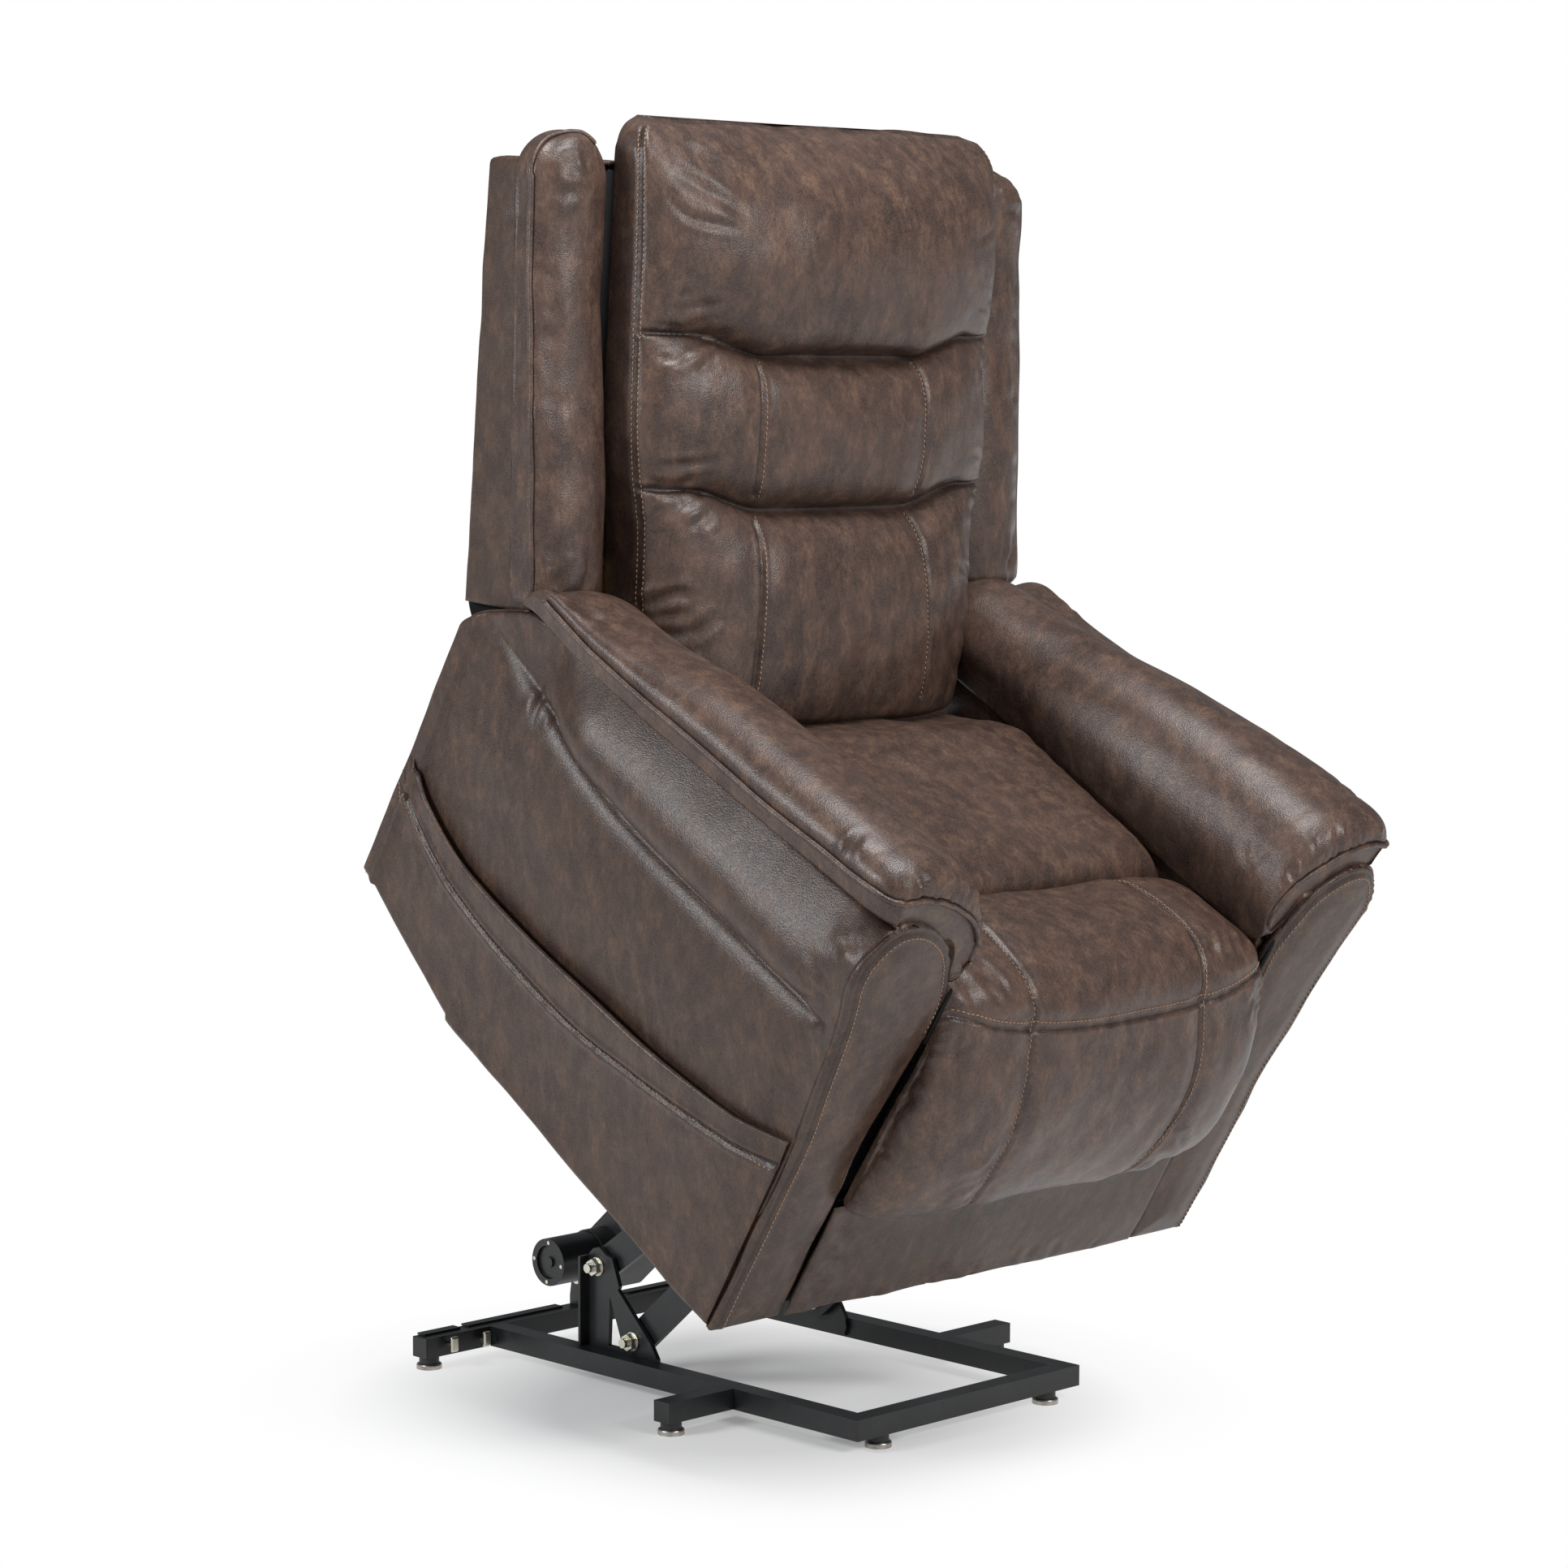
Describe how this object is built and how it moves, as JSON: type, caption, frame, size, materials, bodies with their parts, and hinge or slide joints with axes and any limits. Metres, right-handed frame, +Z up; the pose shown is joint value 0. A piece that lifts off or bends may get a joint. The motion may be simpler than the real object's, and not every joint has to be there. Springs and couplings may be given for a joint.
{
  "type": "lift recliner chair",
  "caption": "Upholstered power recliner on a tilting lift frame: it raises and tips forwards to help a person stand, with a reclining back and a fold-out leg rest.",
  "frame": {"origin": "centre of the bounding box in plan, on the floor that the feet stand on", "axes": "+Z up, the chair faces -Y, +X is to the right seen from the front"},
  "size_m": [0.912, 1.0148, 1.5813],
  "materials": {
    "padded_cover": "satin dark brown mottled faux leather over foam",
    "cover": "satin dark brown mottled faux leather",
    "plywood": "raw plywood",
    "black_steel": "satin black powder coat",
    "zinc": "zinc plated",
    "rod_steel": "smooth steel",
    "spring_steel": "dark spring wire",
    "foot_metal": "nickel plated",
    "black_plastic": "matte black",
    "lining": "black woven lining"
  },
  "bodies": {
    "base": {"base_front_tube": "black_steel", "base_rear_tube": "black_steel", "base_side_rails": "black_steel", "outriggers": "black_steel", "tube_end_caps": "black_plastic", "foot_stems": "black_plastic", "foot_discs": "foot_metal", "base_hook_bolts": "zinc", "lift_brackets": "black_steel", "base_pivot_bolts": "zinc", "pivot_spacers": "zinc", "actuator_base_ears": "black_steel", "actuator_pin": "zinc"},
    "upper_links": {"upper_lift_links": "black_steel"},
    "lower_links": {"lower_lift_links": "black_steel"},
    "chair": {"lift_frame_rails": "black_steel", "lift_frame_crossbars": "black_steel", "lift_plates": "black_steel", "lift_plate_bolts": "zinc", "control_box": "black_plastic", "rod_ears": "black_steel", "rod_ear_bolts": "zinc", "arm_frame_left": "plywood", "arm_frame_right": "plywood", "side_panel_left": "cover", "side_panel_right": "cover", "arm_bolster_left": "padded_cover", "arm_bolster_right": "padded_cover", "front_post_left": "padded_cover", "front_post_right": "padded_cover", "arm_pad_left": "padded_cover", "arm_pad_right": "padded_cover", "side_pocket": "cover", "seat_cushion": "padded_cover", "chaise_pad": "padded_cover", "seat_rails": "plywood", "seat_springs": "spring_steel", "front_skirt": "cover", "legrest_pins": "zinc", "back_hinge_bolts": "zinc"},
    "legrest": {"legrest_pad": "padded_cover", "legrest_board": "plywood", "legrest_arms": "black_steel"},
    "back": {"back_cushion": "padded_cover", "back_wing_left": "padded_cover", "back_wing_right": "padded_cover", "back_shell": "cover", "back_uprights": "plywood", "back_rails": "plywood", "back_webbing": "lining", "back_liner": "lining", "back_hinge_plates": "black_steel"},
    "lift_motor": {"actuator_casing": "black_steel", "actuator_gearbox": "black_plastic", "motor_can": "black_steel", "motor_end_cap": "black_steel", "motor_screws": "zinc"},
    "rod": {"actuator_rod": "rod_steel"}
  },
  "joints": [
    {"name": "lift", "type": "hinge", "parent": "base", "child": "upper_links", "pos_m": [0, 0.29736, 0.146], "axis": [1, 0, 0], "range_deg": [0, 45.52]},
    {"name": "chair_pivot", "type": "hinge", "parent": "upper_links", "child": "chair", "pos_m": [0, -0.00908, 0.36057], "axis": [1, 0, 0], "range_deg": [-76.5, 0]},
    {"name": "lower_link_pivot", "type": "hinge", "parent": "base", "child": "lower_links", "pos_m": [0, 0.23136, 0.06], "axis": [1, 0, 0], "range_deg": [0, 43.91]},
    {"name": "motor_pivot", "type": "hinge", "parent": "base", "child": "lift_motor", "pos_m": [-0.02, 0.48636, 0.08], "axis": [1, 0, 0], "range_deg": [0, 36.14]},
    {"name": "rod_slide", "type": "slide", "parent": "lift_motor", "child": "rod", "axis": [0, -0.7533, 0.6577], "range_m": [-0.1129, 0]},
    {"name": "leg_rest", "type": "hinge", "parent": "chair", "child": "legrest", "pos_m": [0, -0.39508, 0.5621], "axis": [-1, 0, 0], "range_deg": [0, 85]},
    {"name": "back_recline", "type": "hinge", "parent": "chair", "child": "back", "pos_m": [0, 0.21097, 0.87376], "axis": [-1, 0, 0], "range_deg": [0, 38]}
  ],
  "couplings": [
    {"joint": "chair_pivot", "follows": "lift", "ratio": -1.6805},
    {"joint": "lower_link_pivot", "follows": "lift", "ratio": 0.96445},
    {"joint": "motor_pivot", "follows": "lift", "ratio": 0.79383},
    {"joint": "rod_slide", "follows": "lift", "m_per_rad": -0.14204}
  ]
}
